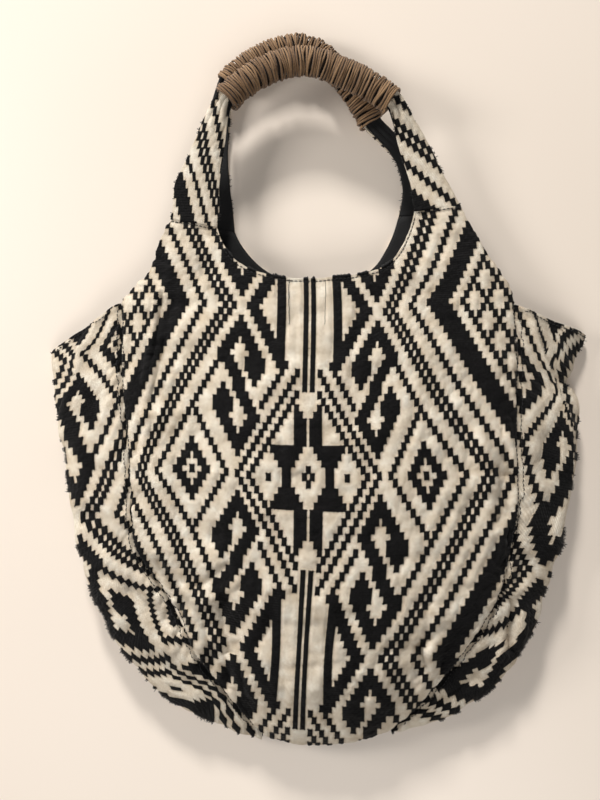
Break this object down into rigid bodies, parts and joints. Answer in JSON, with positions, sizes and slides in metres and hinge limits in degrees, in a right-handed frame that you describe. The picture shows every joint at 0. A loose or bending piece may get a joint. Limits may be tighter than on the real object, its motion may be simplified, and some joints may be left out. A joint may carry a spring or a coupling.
{
  "type": "tote bag",
  "caption": "Slouchy tote bag in thick black and cream geometric cloth, with pointed side gussets, black lining and twine-wrapped handles, lying flat on its back.",
  "frame": {"origin": "middle of the underside of the bounding box, on the surface the bag lies on", "axes": "+X to the viewer's right of the front panel, +Y from the base to the handles, +Z out of the front panel"},
  "size_m": [0.4938, 0.6467, 0.0757],
  "materials": {
    "patterned_cloth": "matt, thick jacquard weave in black and cream",
    "black_cotton": "matt plain weave",
    "rolled_cloth": "matt",
    "jute_twine": "matt, hairy twisted fibre"
  },
  "bodies": {
    "root": {"front_panel": "patterned_cloth", "back_panel": "patterned_cloth", "gusset_left": "patterned_cloth", "gusset_right": "patterned_cloth", "front_strap_left": "patterned_cloth", "front_strap_right": "patterned_cloth", "back_strap_left": "patterned_cloth", "back_strap_right": "patterned_cloth", "front_lining": "black_cotton", "back_lining": "black_cotton", "gusset_lining_left": "black_cotton", "gusset_lining_right": "black_cotton", "front_strap_lining_left": "black_cotton", "front_strap_lining_right": "black_cotton", "back_strap_lining_left": "black_cotton", "back_strap_lining_right": "black_cotton", "front_handle_core": "rolled_cloth", "back_handle_core": "rolled_cloth", "front_handle_wrap": "jute_twine", "back_handle_wrap": "jute_twine"}
  },
  "joints": []
}
